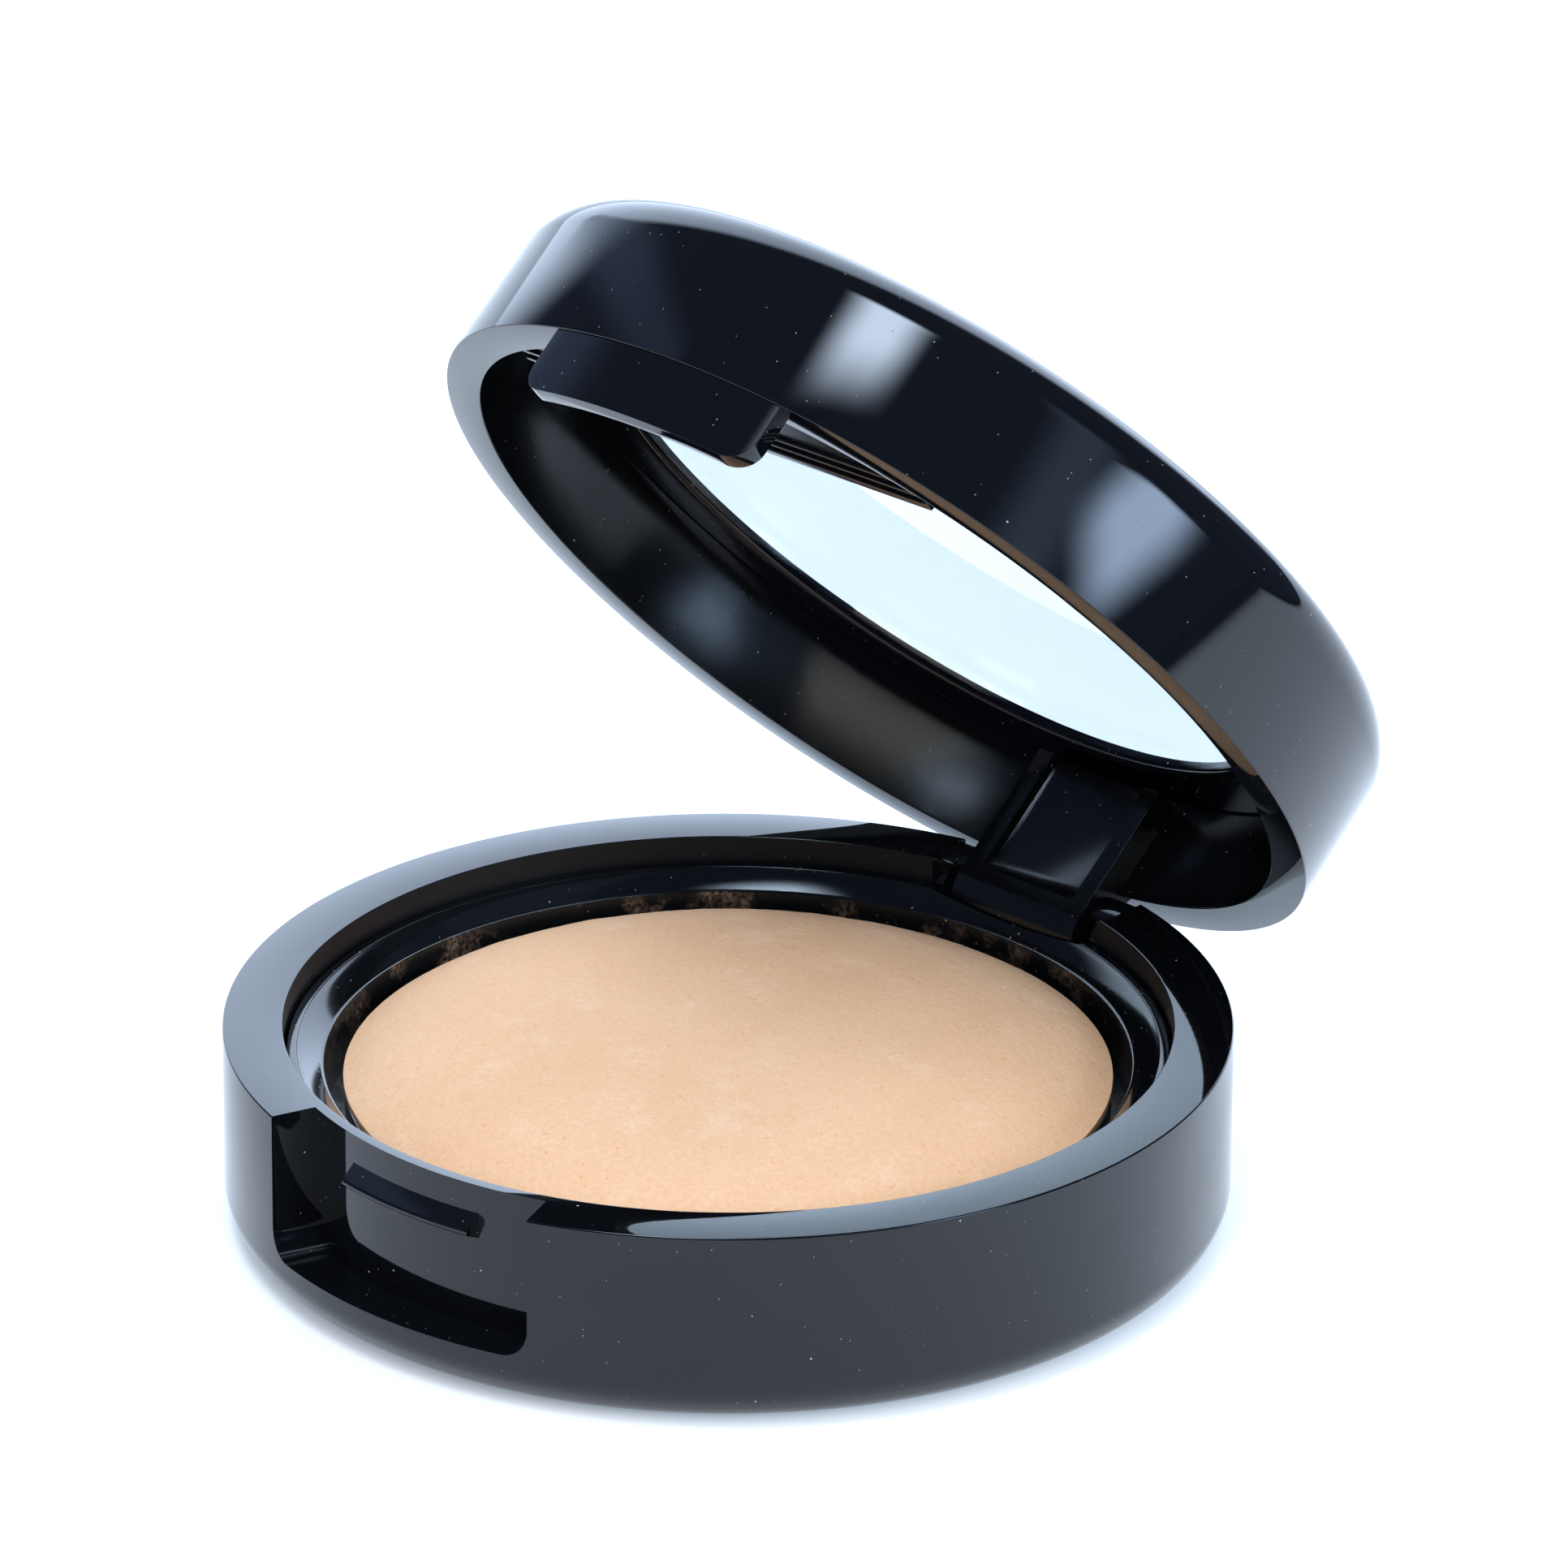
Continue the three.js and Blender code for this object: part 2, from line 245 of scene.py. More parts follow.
def eased(obj, width, segments=2, angle=40):
    """Rounds the corners of a simple solid."""
    mod = obj.modifiers.new("edge", "BEVEL")
    mod.width = width
    mod.segments = segments
    mod.limit_method = "ANGLE"
    mod.angle_limit = math.radians(angle)
    mod.use_clamp_overlap = True
    return baked(obj)


def runs(points, closed=False):
    """The straight runs of a turned outline with the outward normals at both ends."""
    count = len(points)
    spans = []
    for i in range(count if closed else count - 1):
        a = np.array(points[i])
        b = np.array(points[(i + 1) % count])
        d = b - a
        length = np.hypot(*d)
        if length < 1e-9:
            continue
        spans.append([a, b, np.array((d[1], -d[0])) / length])
    out = []
    for i, (a, b, n) in enumerate(spans):
        before = spans[i - 1][2] if i > 0 or closed else n
        after = spans[(i + 1) % len(spans)][2] if i + 1 < len(spans) or closed else n
        limit = math.cos(math.radians(SMOOTH_ANGLE))
        n0 = n + before if n @ before > limit else n
        n1 = n + after if n @ after > limit else n
        out.append((a, b, n, n0 / np.linalg.norm(n0), n1 / np.linalg.norm(n1)))
    return out


def shade(obj, *outlines):
    """Smooth shading, with exact normals on every face that lies on a turned outline."""
    mesh = obj.data
    mesh.polygons.foreach_set("use_smooth", [True] * len(mesh.polygons))
    mesh.set_sharp_from_angle(angle=math.radians(SMOOTH_ANGLE))
    mesh.update()
    count = len(mesh.loops)
    normals = np.empty(count * 3)
    mesh.corner_normals.foreach_get("vector", normals)
    normals = normals.reshape(-1, 3)
    co = np.empty(len(mesh.vertices) * 3)
    mesh.vertices.foreach_get("co", co)
    co = co.reshape(-1, 3)
    loop_vert = np.empty(count, int)
    mesh.loops.foreach_get("vertex_index", loop_vert)
    start = np.empty(len(mesh.polygons), int)
    mesh.polygons.foreach_get("loop_start", start)
    total = np.empty(len(mesh.polygons), int)
    mesh.polygons.foreach_get("loop_total", total)
    face_n = np.empty(len(mesh.polygons) * 3)
    mesh.polygons.foreach_get("normal", face_n)
    face_n = face_n.reshape(-1, 3)
    face_c = np.empty(len(mesh.polygons) * 3)
    mesh.polygons.foreach_get("center", face_c)
    face_c = face_c.reshape(-1, 3)
    face_r = np.maximum(np.hypot(face_c[:, 0], face_c[:, 1]), 1e-9)
    radial = (face_n[:, 0] * face_c[:, 0] + face_n[:, 1] * face_c[:, 1]) / face_r
    r = np.hypot(co[:, 0], co[:, 1])
    z = co[:, 2]
    for points, closed in outlines:
        for a, b, n, n0, n1 in runs(points, closed):
            d = b - a
            along = ((r - a[0]) * d[0] + (z - a[1]) * d[1]) / (d @ d)
            off = np.abs((r - a[0]) * n[0] + (z - a[1]) * n[1])
            bad = (off > 0.02) | (along < -0.02) | (along > 1.02)
            worst = np.maximum.reduceat(bad[loop_vert].astype(int), start)
            ok = (worst == 0) & (radial * n[0] + face_n[:, 2] * n[1] > 0.93)
            mask = np.repeat(ok, total)
            v = loop_vert[mask]
            t = np.clip(along[v], 0, 1)[:, None]
            m = n0 * (1 - t) + n1 * t
            m /= np.linalg.norm(m, axis=1)[:, None]
            rv = np.maximum(r[v], 1e-9)
            normals[mask, 0] = m[:, 0] * co[v, 0] / rv
            normals[mask, 1] = m[:, 0] * co[v, 1] / rv
            normals[mask, 2] = m[:, 1]
    mesh.normals_split_custom_set(normals.tolist())
    return obj


OPENED = (
    Matrix.Translation((0, HINGE_Y, HINGE_Z))
    @ Matrix.Rotation(math.radians(-OPEN_ANGLE), 4, "X")
    @ Matrix.Translation((0, -HINGE_Y, -HINGE_Z))
)


def mark_inner(obj, radius, bottom):
    """Marks the faces inside a radius and above a height, where the mould was left less polished."""
    mesh = obj.data
    values = []
    for face in mesh.polygons:
        x, y, z = face.center
        values.append(1.0 if math.hypot(x, y) < radius and z > bottom else 0.0)
    mesh.attributes.new("inner", "FLOAT", "FACE").data.foreach_set("value", values)


def put(obj, name, body, material, nodes=(), opened=False):
    """Names the finished piece, moves it to its place in metres and ties it to the frame."""
    scale = Matrix.Scale(MM, 4)
    obj.data.transform(scale @ OPENED if opened else scale)
    obj.name = name
    obj.data.name = name
    obj.data.materials.clear()
    obj.data.materials.append(material)
    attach(obj, body)
    if nodes:
        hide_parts(*nodes)
    return obj


# ---- materials ----
class Nodes:
    """Small helper that adds and links shader nodes."""

    def __init__(self, tree):
        self.tree = tree
        tree.nodes.clear()

    def add(self, kind, values=None, **props):
        node = self.tree.nodes.new(kind)
        for key, value in props.items():
            setattr(node, key, value)
        for key, value in (values or {}).items():
            if isinstance(value, bpy.types.NodeSocket):
                self.tree.links.new(value, node.inputs[key])
            else:
                node.inputs[key].default_value = value
        return node

    def math(self, operation, a, b=0.0, clamp=False):
        node = self.add("ShaderNodeMath", {0: a, 1: b}, operation=operation)
        node.use_clamp = clamp
        return node.outputs[0]

    def noise(self, vector, scale, detail=2.0, rough=0.5):
        values = {"Vector": vector, "Scale": scale, "Detail": detail, "Roughness": rough}
        return self.add("ShaderNodeTexNoise", values).outputs["Fac"]

    def ramp(self, value, low, high, out_low=0.0, out_high=1.0, blend="LINEAR"):
        values = {0: value, 1: low, 2: high, 3: out_low, 4: out_high}
        return self.add("ShaderNodeMapRange", values, clamp=True, interpolation_type=blend).outputs[0]

    def mix(self, factor, a, b):
        node = self.add("ShaderNodeMix", data_type="RGBA")
        for key, value in ((0, factor), (6, a), (7, b)):
            if isinstance(value, bpy.types.NodeSocket):
                self.tree.links.new(value, node.inputs[key])
            else:
                node.inputs[key].default_value = value
        return node.outputs[2]

    def bump(self, height, strength, distance, normal=None):
        values = {"Strength": strength, "Distance": distance, "Height": height}
        if normal is not None:
            values["Normal"] = normal
        return self.add("ShaderNodeBump", values).outputs[0]

    def specks(self, vector, scale, size, share):
        """Mask of round specks: size is a share of the cell, share the part of cells that hold one."""
        cell = self.add("ShaderNodeTexVoronoi", {"Vector": vector, "Scale": scale})
        dot = self.ramp(cell.outputs["Distance"], size, size * 0.6)
        draw = self.add("ShaderNodeSeparateColor", {0: cell.outputs["Color"]}).outputs[0]
        return self.math("MULTIPLY", dot, self.math("LESS_THAN", draw, share))


def new_material(name):
    material = bpy.data.materials.new(name)
    material.use_nodes = True
    return material, Nodes(material.node_tree)


def gloss_plastic(name, color, rough, dust=0.03, powder=0.0, well_z=None, inner_rough=0.0):
    """Polished moulded plastic with a faint ripple, smears and dust.

    powder adds powder residue, most of it on walls below well_z and heavier on the left (x < 0), where its
    brown also serves as a painted reflection of the cake's edge in the well wall; inner_rough dulls the
    marked inner faces.
    """
    material, n = new_material(name)
    where = n.add("ShaderNodeTexCoord").outputs["Object"]
    smear = n.ramp(n.noise(where, 120, 4, 0.6), 0.45, 0.75)
    roughness = n.math("ADD", n.math("MULTIPLY", smear, 0.03), rough)
    tone = n.mix(n.noise(where, 60, 3), (*[c * 0.8 for c in color], 1), (*[c * 1.25 for c in color], 1))
    specks = n.specks(where, 1100, 0.1, dust)
    fine = n.specks(where, 2600, 0.16, dust * 1.4)
    mask = n.math("MAXIMUM", specks, n.math("MULTIPLY", fine, 0.6))
    tone = n.mix(mask, tone, (0.36, 0.35, 0.34, 1))
    roughness = n.math("MAXIMUM", roughness, n.math("MULTIPLY", mask, 0.7))
    if inner_rough:
        inner = n.add("ShaderNodeAttribute", attribute_name="inner").outputs["Fac"]
        roughness = n.math("MAXIMUM", roughness, n.math("MULTIPLY", inner, inner_rough))
    if powder:
        place = n.add("ShaderNodeSeparateXYZ", {0: where})
        deep = n.ramp(place.outputs[2], (well_z + 0.02) * MM, (well_z - 0.12) * MM)
        # heavier on the left (x < 0): real residue plus a painted reflection of the cake's brown edge in
        # the well wall
        left = n.ramp(place.outputs[0], 0.02, -0.02, 0.3, 1.0)
        patch = n.ramp(n.noise(where, 170, 5, 0.65), 0.5, 0.72)
        grain = n.ramp(n.noise(where, 3000, 3, 0.7), 0.4, 0.62)
        residue_and_painted_reflection = n.math("MULTIPLY", n.math("MULTIPLY", patch, grain), n.math("MULTIPLY", deep, left))
        residue_and_painted_reflection = n.math("MULTIPLY", residue_and_painted_reflection, powder)
        gathered = n.ramp(n.noise(where, 130, 3), 0.52, 0.62)
        crumbs = n.math("MULTIPLY", n.specks(where, 1900, 0.2, 0.35), gathered)
        residue_and_painted_reflection = n.math("MAXIMUM", residue_and_painted_reflection, n.math("MULTIPLY", crumbs, 0.75))
        # brown residue colour, partly a painted reflection of the cake's edge
        tone = n.mix(residue_and_painted_reflection, tone, (0.4, 0.27, 0.18, 1))
        roughness = n.math("MAXIMUM", roughness, n.math("MULTIPLY", residue_and_painted_reflection, 0.9))
        roughness = n.math("MAXIMUM", roughness, n.math("MULTIPLY", deep, 0.32))
    ripple = n.noise(where, 95, 1)
    bump = n.bump(ripple, 0.1, 0.00005)
    raised = n.bump(mask, 0.4, 0.00002, bump)
    bsdf = n.add(
        "ShaderNodeBsdfPrincipled",
        {"Base Color": tone, "Roughness": roughness, "IOR": 1.5, "Normal": raised},
    )
    n.add("ShaderNodeOutputMaterial", {"Surface": bsdf.outputs[0]})
    return material


def pressed_powder(name):
    material, n = new_material(name)
    where = n.add("ShaderNodeTexCoord").outputs["Object"]
    broad = n.ramp(n.noise(where, 55, 3, 0.55), 0.35, 0.65)
    tone = n.mix(broad, (0.79, 0.495, 0.29, 1), (0.84, 0.55, 0.335, 1))
    patch = n.ramp(n.noise(where, 150, 6, 0.72), 0.54, 0.76)
    tone = n.mix(n.math("MULTIPLY", patch, 0.65), tone, (0.93, 0.71, 0.53, 1))
    grain = n.ramp(n.noise(where, 2300, 5, 0.85), 0.4, 0.62)
    tone = n.mix(n.math("MULTIPLY", grain, 0.42), tone, (0.7, 0.37, 0.18, 1))
    orange = n.specks(where, 1250, 0.22, 0.12)
    tone = n.mix(n.math("MULTIPLY", orange, 0.5), tone, (0.74, 0.3, 0.1, 1))
    # pale shimmer flakes with lower roughness; their bright colour is partly a painted glint
    shimmer_and_glint = n.specks(where, 5000, 0.22, 0.03)
    tone = n.mix(shimmer_and_glint, tone, (0.98, 0.84, 0.68, 1))
    roughness = n.math("SUBTRACT", 0.88, n.math("MULTIPLY", shimmer_and_glint, 0.5))
    coarse = n.noise(where, 520, 6, 0.72)
    fine = n.noise(where, 3400, 4, 0.8)
    grit = n.bump(fine, 1.0, 0.00006, n.bump(coarse, 1.0, 0.00016))
    bsdf = n.add(
        "ShaderNodeBsdfPrincipled",
        {"Base Color": tone, "Roughness": roughness, "Specular IOR Level": 0.2, "Normal": grit},
    )
    n.add("ShaderNodeOutputMaterial", {"Surface": bsdf.outputs[0]})
    return material


def clear_plastic(name):
    material, n = new_material(name)
    where = n.add("ShaderNodeTexCoord").outputs["Object"]
    smear = n.ramp(n.noise(where, 90, 4, 0.6), 0.5, 0.8)
    roughness = n.math("ADD", n.math("MULTIPLY", smear, 0.02), 0.01)
    wave = n.bump(n.noise(where, 70, 1), 0.08, 0.00004)
    bsdf = n.add(
        "ShaderNodeBsdfPrincipled",
        {
            "Base Color": (0.78, 0.83, 0.83, 1),
            "Roughness": roughness,
            "IOR": 1.49,
            "Transmission Weight": 1.0,
            "Normal": wave,
        },
    )
    n.add("ShaderNodeOutputMaterial", {"Surface": bsdf.outputs[0]})
    return material


def metal(name, color, rough):
    material, n = new_material(name)
    where = n.add("ShaderNodeTexCoord").outputs["Object"]
    grain = n.noise(where, 1500, 3, 0.6)
    tone = n.mix(n.noise(where, 200, 2), (*[c * 0.85 for c in color], 1), (*color, 1))
    roughness = n.ramp(grain, 0.3, 0.7, rough * 0.8, rough * 1.2)
    bump = n.bump(grain, 0.2, 0.00002)
    bsdf = n.add(
        "ShaderNodeBsdfPrincipled",
        {"Base Color": tone, "Roughness": roughness, "Metallic": 1.0, "Normal": bump},
    )
    n.add("ShaderNodeOutputMaterial", {"Surface": bsdf.outputs[0]})
    return material


def foam(name):
    material, n = new_material(name)
    where = n.add("ShaderNodeTexCoord").outputs["Object"]
    grain = n.noise(where, 2400, 3, 0.7)
    tone = n.mix(grain, (0.7, 0.68, 0.64, 1), (0.86, 0.84, 0.8, 1))
    bump = n.bump(grain, 0.4, 0.00005)
    roughness = n.ramp(grain, 0.3, 0.7, 0.7, 0.9)
    bsdf = n.add(
        "ShaderNodeBsdfPrincipled",
        {"Base Color": tone, "Roughness": roughness, "Normal": bump},
    )
    n.add("ShaderNodeOutputMaterial", {"Surface": bsdf.outputs[0]})
    return material


BLACK = (0.0025, 0.003, 0.004)
base_black = gloss_plastic("base_black", BLACK, 0.03, inner_rough=0.5)
lid_black = gloss_plastic("lid_black", BLACK, 0.03, inner_rough=0.17)
tray_black = gloss_plastic("tray_black", BLACK, 0.08, dust=0.05, powder=0.8, well_z=LEDGE_IN_Z)
bezel_black = gloss_plastic("bezel_black", BLACK, 0.06, dust=0.05)
powder_beige = pressed_powder("powder_beige")
window_clear = clear_plastic("window_clear")
pan_metal = metal("pan_metal", (0.72, 0.73, 0.74), 0.35)
pin_steel = metal("pin_steel", (0.6, 0.61, 0.63), 0.3)
pad_white = foam("pad_white")


# ---- base ----
def hinge_slot():
    """Room for the lid's lug as it turns."""
    well = common(
        axle(LUG_FRONT_R + GAP, SLOT_HALF_W),
        block(-SLOT_HALF_W - 1, SLOT_HALF_W + 1, HINGE_Y - 6, HINGE_Y, HINGE_Z - 6, BASE_H + 3),
    )
    front_y = HINGE_Y - LUG_FRONT_R - GAP
    floor_z = HINGE_Z - LUG_REAR_R - GAP
    above = block(-SLOT_HALF_W, SLOT_HALF_W, front_y, HINGE_Y + 6, HINGE_Z, BASE_H + 3)
    rear = block(-SLOT_HALF_W, SLOT_HALF_W, HINGE_Y, HINGE_Y + 6, floor_z, HINGE_Z + 1)
    return join(well, above, rear)


def lug_recess():
    """Wider, shallower pocket in front of the slot."""
    front_y = HINGE_Y - LUG_FRONT_R - GAP
    return block(-RECESS_HALF_W, RECESS_HALF_W, front_y, HINGE_Y - 1.6, HINGE_Z - 0.4, BASE_H + 3)


def rear_relief():
    """Rounds the rear of the base about the hinge, clear of the lid's foot."""
    over = block(-RELIEF_HALF_W, RELIEF_HALF_W, HINGE_Y - 3.05, HINGE_Y + 6, HINGE_Z, BASE_H + 3)
    return cut(over, axle(RELIEF_R, RELIEF_HALF_W + 1))


def round_bottom(half, z0, z1, radius, steps=10):
    """Outline of an upright rectangle with round lower corners."""
    return [
        (-half, z1),
        *arc(-half + radius, z0 + radius, radius, radius, 180, 270, steps),
        *arc(half - radius, z0 + radius, radius, radius, 270, 360, steps),
        (half, z1),
    ]


def make_base():
    outline = [
        (0, 0),
        *arc(OUTER_R - BASE_EDGE_R, BASE_EDGE_H, BASE_EDGE_R, BASE_EDGE_H, -90, 0, 18),
        *arc(OUTER_R - 0.16, BASE_H - 0.16, 0.16, 0.16, 0, 90, 4),
        *arc(RIM_IN_R + 0.12, BASE_H - 0.12, 0.12, 0.12, 90, 180, 4),
        (RIM_IN_R, BASE_FLOOR),
        (0, BASE_FLOOR),
    ]
    base = turned("base", outline)
    half = OUTER_R * math.sin(math.radians(NOTCH_HALF_ANGLE))
    depth = OUTER_R * math.cos(math.radians(NOTCH_HALF_ANGLE))
    mouth = round_bottom(half, NOTCH_FLOOR, BASE_H + 3, NOTCH_CORNER)
    notch = prism(
        "notch",
        mouth,
        -OUTER_R - 3,
        -NOTCH_BACK_R * 0.8,
        lambda u, v, w: (u * abs(w) / depth, w, v),
    )
    back = [(0, -1), (NOTCH_BACK_R, -1), (NOTCH_BACK_R, BASE_H + 4), (0, BASE_H + 4)]
    cut(base, cut(notch, turned("core", back)))
    nose = arc(RIDGE_TIP_R - 0.32, 11.95, 0.32, 0.32, -55, 55, 6)
    ridge_outline = [(NOTCH_BACK_R - 0.3, RIDGE_BOTTOM), *nose, (NOTCH_BACK_R - 0.3, RIDGE_TOP)]
    ridge = turned("ridge", ridge_outline, closed=True)
    join(base, common(ridge, block(-RIDGE_HALF_W, RIDGE_HALF_W, -40, -30, 8, 15)))
    cut(base, rear_relief(), lug_recess(), hinge_slot(), axle(PIN_R + GAP, PIN_HALF + GAP, 32))
    inward = [(NOTCH_BACK_R, -1), (NOTCH_BACK_R, BASE_H + 4)]
    shade(base, (outline, False), (inward, False), (ridge_outline, True))
    mark_inner(base, RIM_IN_R + 0.03, BASE_FLOOR + 0.5)
    return put(base, "base_moulding", "base", base_black, ["base_shell"])


def make_tray():
    outer = RIM_IN_R - GAP
    outline = [
        (0, TRAY_UNDER),
        (WELL_R, TRAY_UNDER),
        (WELL_R, BASE_FLOOR + GAP),
        (WELL_R + TRAY_WALL, BASE_FLOOR + GAP),
        (WELL_R + TRAY_WALL, LEDGE_IN_Z - TRAY_WALL),
        (outer, LEDGE_OUT_Z - TRAY_WALL),
        *arc(outer - 0.1, LEDGE_OUT_Z - 0.1, 0.1, 0.1, 0, 90, 3),
        *arc(outer - 0.62, LEDGE_OUT_Z - 0.12, 0.12, 0.12, 90, 160, 3),
        *arc(36.28, 3.74, 10.6, 10.6, 118, 128, 12),  # slightly domed ledge
        *arc(WELL_R + 0.14, LEDGE_IN_Z - 0.13, 0.14, 0.14, 132, 180, 4),
        (WELL_R, TRAY_FLOOR),
        (0, TRAY_FLOOR),
    ]
    tray = turned("tray", outline)
    cut(tray, lug_recess(), hinge_slot())
    shade(tray, (outline, False))
    return put(tray, "tray_moulding", "base", tray_black, ["inner_tray"])


def make_pan():
    rim = PAN_R - 0.28  # stays hidden under the cake's edge
    outline = [
        (0, PAN_BOTTOM),
        *arc(rim - 0.5, PAN_BOTTOM + 0.5, 0.5, 0.5, -90, 0, 5),
        *arc(rim - 0.12, PAN_TOP - 0.12, 0.12, 0.12, 0, 90, 3),
        *arc(rim - 0.2, PAN_TOP - 0.12, 0.12, 0.12, 90, 180, 3),
        (PAN_R - PAN_WALL, PAN_BOTTOM + PAN_WALL),
        (0, PAN_BOTTOM + PAN_WALL),
    ]
    pan = turned("pan", outline)
    shade(pan, (outline, False))
    return put(pan, "pan_pressing", "base", pan_metal, ["powder_pan"])


# ---- powder ----
def make_cake():
    """Domed cake with a fine uneven relief that never rises above the crown."""
    rings = 150
    segments = 300
    floor_r = PAN_R - PAN_WALL - GAP
    floor_z = PAN_BOTTOM + PAN_WALL + GAP
    step_z = PAN_TOP + GAP
    outline = [(floor_r, floor_z), (floor_r, step_z), (CAKE_R - 0.05, step_z), (CAKE_R, step_z + 0.1)]
    for i in range(rings + 1):
        k = 1 - (i / rings) ** 1.15
        r = CAKE_R * k
        outline.append((r, CAKE_TOP_Z - (CAKE_TOP_Z - CAKE_EDGE_Z) * k**CAKE_POWER))
    outline[-1] = (0, CAKE_TOP_Z)
    cake = turned("cake", [(0, floor_z), *outline], segments=segments)
    for v in cake.data.vertices:
        r = math.hypot(v.co.x, v.co.y)
        if v.co.z < CAKE_EDGE_Z - 0.05:
            continue
        p = v.co
        swell = noise.fractal(p * 0.16, 1.0, 2.0, 3) * 0.05
        lumps = noise.fractal(p * 1.1 + Vector((7, 3, 1)), 0.9, 2.1, 4) * 0.034
        pits = max(0.0, noise.noise(p * 2.3 + Vector((1, 9, 4))) - 0.42) * 0.16
        fade = min(1.0, (CAKE_R - r) / 0.6)
        v.co.z += min((swell + lumps - pits - 0.03) * (0.35 + 0.65 * fade), CAKE_TOP_Z + 0.02 - v.co.z)
    mesh = cake.data
    mesh.polygons.foreach_set("use_smooth", [True] * len(mesh.polygons))
    mesh.set_sharp_from_angle(angle=math.radians(50))
    return put(cake, "powder_dome", "base", powder_beige, ["powder_cake"])


# ---- lid, drawn closed ----
def lifted(points):
    return [(r, BASE_H + z) for r, z in points]


def lug_outline():
    """The column and the lug round the pin, seen from the side."""

    def at(y, z):
        return (HINGE_Y + y, HINGE_Z + z)

    top = HINGE_DROP + BEZEL_BEAD - GAP
    return [
        at(-LUG_FRONT_R, top),
        *arc(HINGE_Y, HINGE_Z, LUG_FRONT_R, LUG_FRONT_R, 180, 248, 14),
        *arc(HINGE_Y, HINGE_Z, LUG_REAR_R, LUG_REAR_R, -99, 81, 16),
        at(0.3, HINGE_DROP + 1.5),
        at(0.3, top),
    ]


def make_lid():
    outline = lifted([
        *arc(OUTER_R - 0.14, LID_FOOT + 0.14, 0.14, 0.14, -90, 0, 4),
        *arc(OUTER_R - LID_EDGE_R, LID_H - LID_EDGE_R, LID_EDGE_R, LID_EDGE_R, 0, 90, 20),
        *arc(LIP_R + 0.15, LID_H - 0.15, 0.15, 0.15, 90, 180, 4),
        (LIP_R, LIP_UNDER),
        (LID_IN_R, LIP_UNDER),
        *arc(LID_IN_R + 0.12, LID_FOOT + 0.12, 0.12, 0.12, 180, 270, 4),
    ])
    lid = turned("lid", outline, closed=True)
    tab_outline = round_bottom(TAB_HALF_W, BASE_H - TAB_DROP, BASE_H + 2, TAB_CORNER)
    tab = prism("tab", tab_outline, -40, -30, lambda u, v, w: (u, w, v))
    sleeve = lifted([(TAB_IN_R, -8), (TAB_OUT_R, -8), (TAB_OUT_R, 3), (TAB_IN_R, 3)])
    common(tab, turned("sleeve", sleeve, closed=True))
    eased(tab, 0.22, 3)
    bead_outline = lifted([
        (TAB_IN_R + 0.3, -3.85),
        *arc(HOOK_R + 0.12, -4.4, 0.12, 0.12, 130, 230, 4),
        (TAB_IN_R + 0.3, -4.85),
    ])
    bead = turned("bead", bead_outline, closed=True)
    common(bead, block(-7.5, 7.5, -40, -30, 0, 20))
    column = prism("column", lug_outline(), -LUG_HALF_W, LUG_HALF_W, lambda u, v, w: (w, u, v))
    limit = lifted([(0, -12), (OUTER_R - 0.6, -12), (OUTER_R - 0.6, 12), (0, 12)])
    common(column, turned("limit", limit))
    eased(column, 0.14, 2)
    face = HINGE_Y - LUG_FRONT_R + PANEL_DEPTH
    panel_outline = [
        (HINGE_Y - 6, BASE_H + BEZEL_BEAD),
        (HINGE_Y - 6, HINGE_Z + 0.7),
        (HINGE_Y - LUG_FRONT_R, HINGE_Z + 0.7),
        (face, HINGE_Z + 2.2),
        (face, BASE_H + BEZEL_BEAD),
    ]
    panel = prism("panel", panel_outline, -PANEL_HALF_W, PANEL_HALF_W, lambda u, v, w: (w, u, v))
    eased(panel, 0.06, 2)
    join(lid, tab, bead, latch_web(), column)
    cut(lid, panel, axle(PIN_R + GAP, LUG_HALF_W + 2, 32))
    shade(lid, (outline, True), (sleeve, True), (bead_outline, True))
    mark_inner(lid, LID_IN_R + 0.06, 0)
    return put(lid, "lid_moulding", "lid", lid_black, ["lid_shell"], opened=True)


def latch_web():
    """Straight-edged web behind the tab, ribbed underneath."""
    disc = turned("disc", lifted([(0, 0), (LID_IN_R + 0.6, 0), (LID_IN_R + 0.6, 4), (0, 4)]))
    web = block(-SHELF_HALF_W, SHELF_HALF_W, -40, -SHELF_Y, BASE_H + 0.7, BASE_H + 1.9)
    eased(web, 0.12, 2)
    for step in RIB_STEPS:
        y = -SHELF_Y - step
        rib = block(-SHELF_HALF_W, SHELF_HALF_W, y - RIB_W, y, BASE_H + 0.45, BASE_H + 1)
        join(web, eased(rib, 0.08, 2))
    return common(web, disc)


def make_window():
    boss = LIP_R - GAP
    top = []
    for i in range(17):
        k = 1 - i / 16
        top.append((boss * k, LID_H - 0.1 + WINDOW_CROWN * (1 - k * k)))
    outline = lifted([
        (0, WINDOW_BOTTOM),
        (LID_IN_R - GAP, WINDOW_BOTTOM),
        (LID_IN_R - GAP, WINDOW_FLANGE_TOP),
        (boss, WINDOW_FLANGE_TOP),
        (boss, LID_H - 0.18),
        *top,
    ])
    window = turned("window", outline)
    shade(window, (outline, False))
    return put(window, "window_disc", "lid", window_clear, ["lid_window"], opened=True)


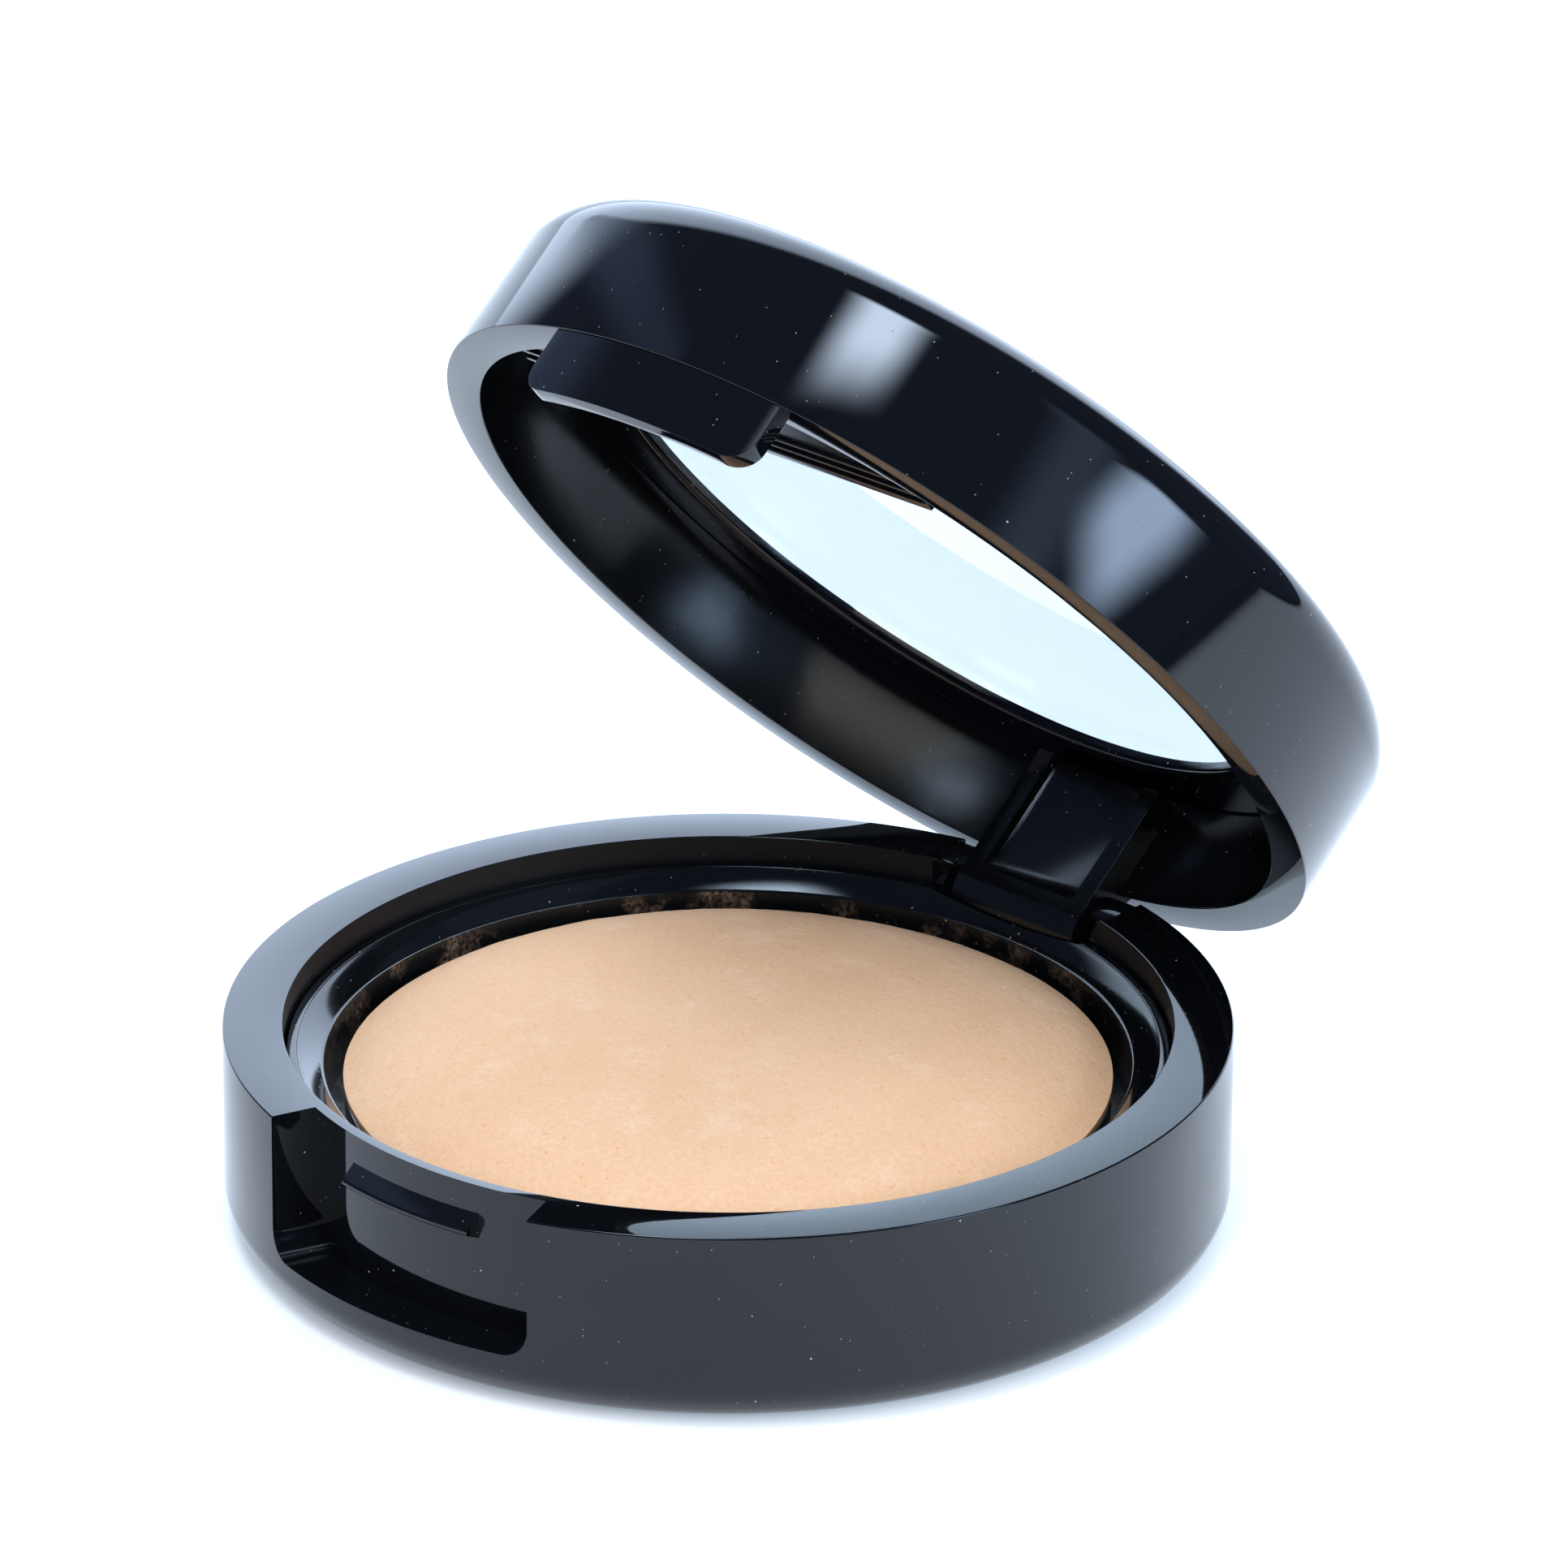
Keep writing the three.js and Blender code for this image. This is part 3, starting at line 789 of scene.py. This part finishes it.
def make_bezel():
    outline = lifted([
        (BEZEL_IN_R, BEZEL_TOP),
        *arc(BEZEL_IN_R + 0.4, BEZEL_BEAD + 0.42, 0.4, 0.42, 180, 270, 6),
        (BEZEL_IN_R + 0.85, BEZEL_BEAD),
        *arc(BEZEL_IN_R + 1.2, BEZEL_BEAD + 0.4, 0.35, 0.38, -80, -15, 5),
        (BEZEL_IN_R + 2.0, BEZEL_BEAD + 0.42),
        (LID_IN_R - GAP, BEZEL_BEAD + 0.4),
        (LID_IN_R - GAP, BEZEL_TOP),
    ])
    bezel = turned("bezel", outline, closed=True)
    shade(bezel, (outline, True))
    return put(bezel, "bezel_ring", "lid", bezel_black, ["window_bezel"], opened=True)


make_base()
make_tray()
make_pan()
make_cake()
make_lid()
make_window()
make_bezel()

for node, material in (("hinge_pin", pin_steel), ("pan_adhesive", pad_white)):
    mesh = frame["nodes"][node].data
    mesh.materials.clear()
    mesh.materials.append(material)


# ---- studio ----
def direction(azimuth, elevation):
    """Unit vector; azimuth is measured from -Y towards +X."""
    a = math.radians(azimuth)
    e = math.radians(elevation)
    return Vector((math.sin(a) * math.cos(e), -math.cos(a) * math.cos(e), math.sin(e)))


def softbox(name, azimuth, elevation, distance, width, height, radiance, color, glossy=True):
    light = bpy.data.lights.new(name, "AREA")
    light.shape = "RECTANGLE"
    light.size = width
    light.size_y = height
    light.color = color
    light.energy = radiance * math.pi * width * height
    obj = bpy.data.objects.new(name, light)
    bpy.context.scene.collection.objects.link(obj)
    aim = Vector((0, 0, 0.03))
    way = direction(azimuth, elevation)
    obj.location = aim + way * distance
    obj.rotation_euler = way.to_track_quat("Z", "Y").to_euler()
    obj.visible_camera = False
    obj.visible_glossy = glossy
    return obj


def make_floor():
    """Pale floor that glows by emission, painted light that is brighter behind the object; far to the right
    it turns dark and stops glowing.
    """
    bm = bmesh.new()
    bmesh.ops.create_grid(bm, x_segments=8, y_segments=8, size=6)
    mesh = bpy.data.meshes.new("floor")
    bm.to_mesh(mesh)
    bm.free()
    floor = bpy.data.objects.new("floor", mesh)
    bpy.context.scene.collection.objects.link(floor)
    material, n = new_material("floor_pale")
    where = n.add("ShaderNodeTexCoord").outputs["Object"]
    place = n.add("ShaderNodeSeparateXYZ", {0: where})
    tone = n.mix(n.noise(where, 3, 2), (0.78, 0.79, 0.8, 1), (0.8, 0.81, 0.82, 1))
    # painted light: the floor glows by emission, brighter towards the back; far to the right it turns dark
    # and stops glowing
    behind = n.ramp(place.outputs[1], -0.06, 0.04, 0.14, 0.66)
    near = n.ramp(place.outputs[0], 0.9, 0.42, blend="SMOOTHSTEP")
    bsdf = n.add(
        "ShaderNodeBsdfPrincipled",
        {
            "Base Color": n.mix(near, (0.05, 0.06, 0.08, 1), tone),
            "Roughness": 0.9,
            "Specular IOR Level": 0.0,
            "Emission Color": (0.82, 0.98, 1.14, 1),
            "Emission Strength": n.math("MULTIPLY", behind, near),
        },
    )
    n.add("ShaderNodeOutputMaterial", {"Surface": bsdf.outputs[0]})
    mesh.materials.append(material)


def window_of_light(n, way, azimuth, elevation, turn, half_u, half_v, soft):
    """Mask of a soft-edged rectangle of sky; sizes are sines of half angles."""
    centre = direction(azimuth, elevation)
    side = Vector((0, 0, 1)).cross(centre).normalized()
    up = centre.cross(side)
    t = math.radians(turn)
    axes = (side * math.cos(t) + up * math.sin(t), up * math.cos(t) - side * math.sin(t))
    front = n.add("ShaderNodeVectorMath", {0: way, 1: tuple(centre)}, operation="DOT_PRODUCT")
    mask = n.math("GREATER_THAN", front.outputs["Value"], 0.0)
    for axis, half in zip(axes, (half_u, half_v)):
        along = n.add("ShaderNodeVectorMath", {0: way, 1: tuple(axis)}, operation="DOT_PRODUCT")
        reach = n.math("ABSOLUTE", along.outputs["Value"])
        mask = n.math("MULTIPLY", mask, n.ramp(reach, half + soft, half - soft, blend="SMOOTHSTEP"))
    return mask


GLOW = (2.4, 2.9, 3.7, 1)
DARK = (0.06, 0.085, 0.15, 1)
LEFT_STRIP = (0.36, 0.5, 0.85, 1)
RIGHT_HAZE = (0.5, 0.7, 1.05, 1)
OVERHEAD = (13.5, 16.2, 20.2, 1)
SIDE = (6.6, 8.7, 12.2, 1)


def make_world():
    """Dim studio with a bright wall behind, two large soft lights and two faint ones."""
    world = bpy.data.worlds.new("studio")
    world.use_nodes = True
    bpy.context.scene.world = world
    n = Nodes(world.node_tree)
    way = n.add("ShaderNodeTexCoord").outputs["Generated"]
    toward = n.add("ShaderNodeVectorMath", {0: way, 1: tuple(direction(-137, 18))}, operation="DOT_PRODUCT")
    glow = n.ramp(toward.outputs["Value"], 0.74, 0.86, blend="SMOOTHSTEP")
    color = n.mix(glow, DARK, GLOW)
    left = window_of_light(n, way, -86, 30, -50, 0.045, 0.5, 0.035)
    color = n.mix(n.math("MULTIPLY", left, 0.6), color, LEFT_STRIP)
    right = window_of_light(n, way, 83, 36, -50, 0.12, 0.4, 0.1)
    color = n.mix(right, color, RIGHT_HAZE)
    overhead = window_of_light(n, way, 9, 74, 0, 0.12, 0.175, 0.085)
    color = n.mix(overhead, color, OVERHEAD)
    side = window_of_light(n, way, 96, 21, 0, 0.16, 0.13, 0.09)
    color = n.mix(side, color, SIDE)
    sky = n.add("ShaderNodeBackground", {"Color": color, "Strength": 1.0})
    n.add("ShaderNodeOutputWorld", {"Surface": sky.outputs[0]})


def make_camera():
    target = Vector((2.94, 2.71, BASE_H + 18.76)) * MM
    way = direction(42.39, 23.86)
    forward = -way
    right = forward.cross(Vector((0, 0, 1))).normalized()
    up = right.cross(forward)
    roll = math.radians(0.27)
    right, up = (
        math.cos(roll) * right + math.sin(roll) * up,
        math.cos(roll) * up - math.sin(roll) * right,
    )
    data = bpy.data.cameras.new("camera")
    data.sensor_width = 36
    data.lens = 300.7
    data.clip_start = 0.05
    data.clip_end = 50
    camera = bpy.data.objects.new("camera", data)
    bpy.context.scene.collection.objects.link(camera)
    matrix = Matrix((right, up, -forward)).transposed().to_4x4()
    matrix.translation = target + way * 0.9507
    camera.matrix_world = matrix
    bpy.context.scene.camera = camera


make_floor()
make_world()
make_camera()
softbox("fill", 40, 42, 1.2, 1.0, 1.0, 4.2, (1.0, 0.96, 0.92), glossy=False)
bpy.context.scene.view_settings.view_transform = "Standard"
